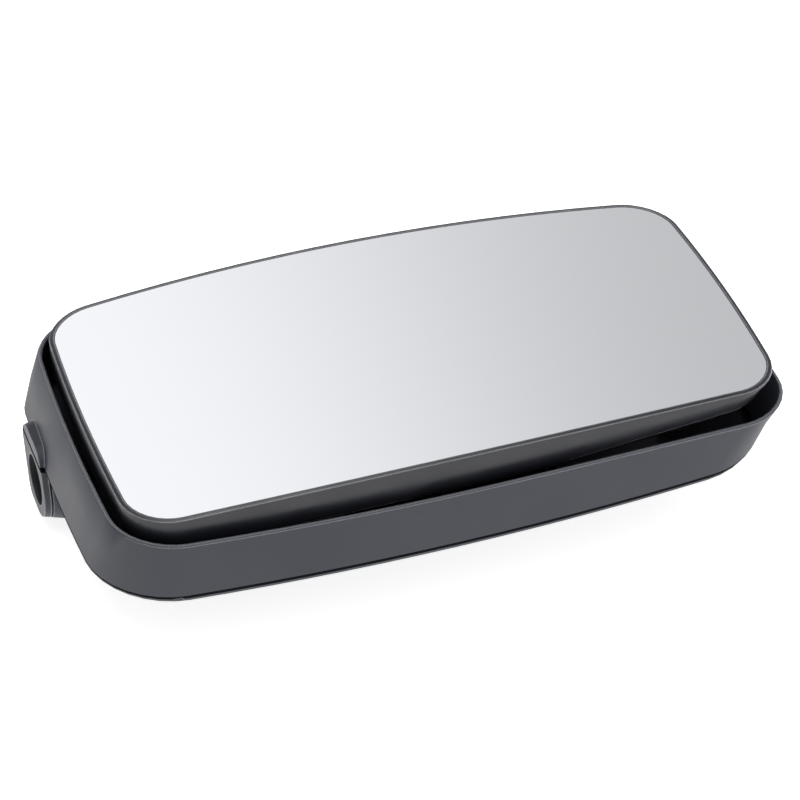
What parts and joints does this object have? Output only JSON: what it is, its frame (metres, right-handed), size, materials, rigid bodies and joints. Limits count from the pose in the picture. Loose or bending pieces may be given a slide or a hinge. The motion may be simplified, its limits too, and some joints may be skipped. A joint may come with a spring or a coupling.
{
  "type": "convex rear-view mirror head",
  "caption": "Long convex mirror glass in a motor-adjusted holder, inside a two-part housing that clamps onto a round arm tube.",
  "frame": {"origin": "middle of the base of the bounding box, on the flat back of the rear cover", "axes": "+X along the glass away from the arm, +Y across the glass, +Z out of the back towards the glass"},
  "size_m": [0.4208, 0.2326, 0.108],
  "materials": {
    "housing_black": "fine-grained moulded ASA, dark grey",
    "cover_black": "fine-grained moulded ASA, dark grey",
    "holder_black": "smooth moulded ABS, near black",
    "mirror": "chromed convex glass",
    "adhesive": "closed-cell acrylic foam",
    "foil": "polyimide heater foil",
    "rubber": "matt EPDM",
    "glass_nylon": "glass-filled nylon",
    "acetal": "natural acetal",
    "zinc_steel": "zinc-plated steel",
    "cast_alloy": "die-cast aluminium",
    "motor_steel": "drawn steel can",
    "brass": "turned brass",
    "pvc": "PVC sleeve"
  },
  "bodies": {
    "housing": {"front_frame": "housing_black", "rear_cover": "cover_black", "arm_grommet": "rubber", "actuator_base": "glass_nylon", "actuator_cover": "glass_nylon", "actuator_screws": "zinc_steel", "pan_motor": "motor_steel", "tilt_motor": "motor_steel", "support_plate": "cast_alloy", "support_screws": "zinc_steel", "clamp_cap": "cast_alloy", "clamp_bolts": "zinc_steel", "clamp_nuts": "zinc_steel", "plug_socket": "glass_nylon", "wiring_loom": "pvc", "frame_screws": "zinc_steel"},
    "glass_head": {"mirror_glass": "mirror", "adhesive_pad": "adhesive", "heater_foil": "foil", "glass_holder": "holder_black", "carrier_plate": "glass_nylon", "carrier_screws": "zinc_steel"},
    "pivot_cross": {"gimbal_cross": "acetal"},
    "pan_rod": {"pan_push_rod": "acetal"},
    "tilt_rod": {"tilt_push_rod": "acetal"},
    "pan_gear": {"pan_wheel": "acetal"},
    "tilt_gear": {"tilt_wheel": "acetal"},
    "pan_drive": {"pan_worm": "brass"},
    "tilt_drive": {"tilt_worm": "brass"}
  },
  "joints": [
    {"name": "glass_pan", "type": "hinge", "parent": "housing", "child": "pivot_cross", "pos_m": [0.00685, 0.0024, 0.078], "axis": [1, 0, 0], "range_deg": [-6, 6]},
    {"name": "glass_tilt", "type": "hinge", "parent": "pivot_cross", "child": "glass_head", "pos_m": [0.00685, 0.0024, 0.078], "axis": [0, 1, 0], "range_deg": [-3.5, 3.5]},
    {"name": "pan_rod_slide", "type": "slide", "parent": "housing", "child": "pan_rod", "axis": [0, 0, 1], "range_m": [-0.00355, 0.00355]},
    {"name": "tilt_rod_slide", "type": "slide", "parent": "housing", "child": "tilt_rod", "axis": [0, 0, 1], "range_m": [-0.00215, 0.00215]},
    {"name": "pan_gear_spin", "type": "hinge", "parent": "housing", "child": "pan_gear", "pos_m": [0.00685, -0.0296, 0.046], "axis": [0, 0, 1], "range_deg": [-304.59, 304.59]},
    {"name": "tilt_gear_spin", "type": "hinge", "parent": "housing", "child": "tilt_gear", "pos_m": [0.03885, 0.0024, 0.046], "axis": [0, 0, 1], "range_deg": [-178.93, 178.93]},
    {"name": "pan_worm_spin", "type": "hinge", "parent": "housing", "child": "pan_drive", "pos_m": [0.00685, -0.04395, 0.05], "axis": [1, 0, 0], "range_deg": [-7268.23, 7268.23]},
    {"name": "tilt_worm_spin", "type": "hinge", "parent": "housing", "child": "tilt_drive", "pos_m": [0.0532, 0.0024, 0.05], "axis": [0, 1, 0], "range_deg": [-4252.3, 4252.3]}
  ],
  "couplings": [
    {"joint": "pan_rod_slide", "follows": "glass_pan", "m_per_rad": -0.032},
    {"joint": "tilt_rod_slide", "follows": "glass_tilt", "m_per_rad": -0.032},
    {"joint": "pan_gear_spin", "follows": "glass_pan", "ratio": -50.265},
    {"joint": "tilt_gear_spin", "follows": "glass_tilt", "ratio": -50.265},
    {"joint": "pan_worm_spin", "follows": "glass_pan", "ratio": -1206.4},
    {"joint": "tilt_worm_spin", "follows": "glass_tilt", "ratio": -1206.4}
  ]
}
